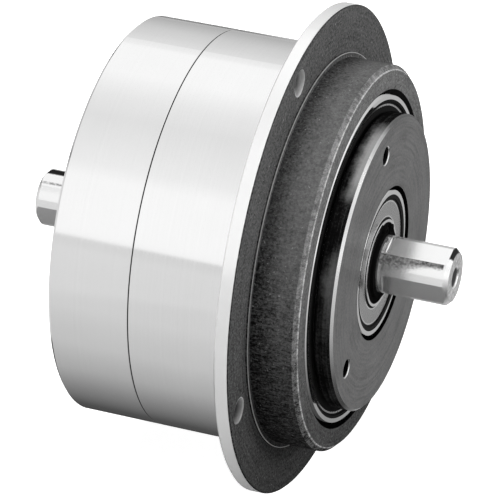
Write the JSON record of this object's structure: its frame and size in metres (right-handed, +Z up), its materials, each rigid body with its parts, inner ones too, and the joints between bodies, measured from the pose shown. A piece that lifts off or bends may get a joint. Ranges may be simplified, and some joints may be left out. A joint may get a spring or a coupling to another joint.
{
  "type": "magnetic powder brake",
  "caption": "Round flange-mounted powder brake with a bearing-carried hub disc and a through shaft with flats at both ends.",
  "frame": {"origin": "centre of the mounting flange's front face, on the shaft's axis", "axes": "+X along the shaft towards the hub, +Z up, +Y towards the side away from the viewer"},
  "size_m": [0.1509, 0.17, 0.17],
  "materials": {
    "turned_steel": "fine turned, satin",
    "flange_iron": "dark oxide, fine turned",
    "hub_steel": "ground, satin",
    "shaft_steel": "ground and polished",
    "drum_steel": "turned",
    "stainless_steel": "turned",
    "bearing_steel": "ground",
    "shield_steel": "pressed sheet",
    "ball_steel": "polished",
    "cage_steel": "pressed",
    "black_steel": "black oxide",
    "plated_steel": "zinc plated",
    "bobbin_plastic": "moulded",
    "copper_wire": "enamelled",
    "lead_sleeve": "smooth sleeve",
    "terminal_plastic": "moulded",
    "felt": "pressed felt",
    "iron_powder": "fine powder"
  },
  "bodies": {
    "housing": {"mounting_flange": "flange_iron", "front_housing": "turned_steel", "rear_housing": "turned_steel", "coil_bobbin": "bobbin_plastic", "coil_winding": "copper_wire", "coil_leads": "lead_sleeve", "housing_screws": "black_steel", "terminal_block": "terminal_plastic", "terminal_screws": "plated_steel", "terminal_block_screws": "plated_steel", "front_drum_bearing_outer_ring": "bearing_steel", "front_drum_bearing_shields": "shield_steel", "rear_drum_bearing_outer_ring": "bearing_steel", "rear_drum_bearing_shields": "shield_steel"},
    "drum": {"hub": "hub_steel", "drum_spacer": "drum_steel", "drum_front": "drum_steel", "drum_flux_ring": "stainless_steel", "drum_rear": "drum_steel", "drum_rear_cover": "drum_steel", "hub_screws": "black_steel", "cover_screws": "black_steel", "front_powder_seal": "felt", "rear_powder_seal": "felt", "magnetic_powder": "iron_powder", "journal_circlip": "black_steel", "front_drum_bearing_inner_ring": "bearing_steel", "rear_drum_bearing_inner_ring": "bearing_steel", "front_shaft_bearing_outer_ring": "bearing_steel", "front_shaft_bearing_shields": "shield_steel", "rear_shaft_bearing_outer_ring": "bearing_steel", "rear_shaft_bearing_shields": "shield_steel"},
    "shaft": {"shaft": "shaft_steel", "inner_rotor": "drum_steel", "rotor_key": "shaft_steel", "rotor_circlip": "black_steel", "front_circlip": "black_steel", "rear_circlip": "black_steel", "front_shaft_bearing_inner_ring": "bearing_steel", "rear_shaft_bearing_inner_ring": "bearing_steel"},
    "front_drum_bearing_cage": {"front_drum_bearing_cage": "cage_steel", "front_drum_bearing_balls": "ball_steel"},
    "rear_drum_bearing_cage": {"rear_drum_bearing_cage": "cage_steel", "rear_drum_bearing_balls": "ball_steel"},
    "front_shaft_bearing_cage": {"front_shaft_bearing_cage": "cage_steel", "front_shaft_bearing_balls": "ball_steel"},
    "rear_shaft_bearing_cage": {"rear_shaft_bearing_cage": "cage_steel", "rear_shaft_bearing_balls": "ball_steel"}
  },
  "joints": [
    {"name": "drum_spin", "type": "hinge", "parent": "housing", "child": "drum", "pos_m": [0, 0, 0], "axis": [1, 0, 0], "continuous": true},
    {"name": "shaft_spin", "type": "hinge", "parent": "drum", "child": "shaft", "pos_m": [0, 0, 0], "axis": [1, 0, 0], "continuous": true},
    {"name": "front_drum_cage_spin", "type": "hinge", "parent": "housing", "child": "front_drum_bearing_cage", "pos_m": [0, 0, 0], "axis": [1, 0, 0], "continuous": true},
    {"name": "rear_drum_cage_spin", "type": "hinge", "parent": "housing", "child": "rear_drum_bearing_cage", "pos_m": [0, 0, 0], "axis": [1, 0, 0], "continuous": true},
    {"name": "front_shaft_cage_spin", "type": "hinge", "parent": "drum", "child": "front_shaft_bearing_cage", "pos_m": [0, 0, 0], "axis": [1, 0, 0], "continuous": true},
    {"name": "rear_shaft_cage_spin", "type": "hinge", "parent": "drum", "child": "rear_shaft_bearing_cage", "pos_m": [0, 0, 0], "axis": [1, 0, 0], "continuous": true}
  ],
  "couplings": [
    {"joint": "front_drum_cage_spin", "follows": "drum_spin", "ratio": 0.46342},
    {"joint": "rear_drum_cage_spin", "follows": "drum_spin", "ratio": 0.46333},
    {"joint": "front_shaft_cage_spin", "follows": "shaft_spin", "ratio": 0.36806},
    {"joint": "rear_shaft_cage_spin", "follows": "shaft_spin", "ratio": 0.36806}
  ]
}
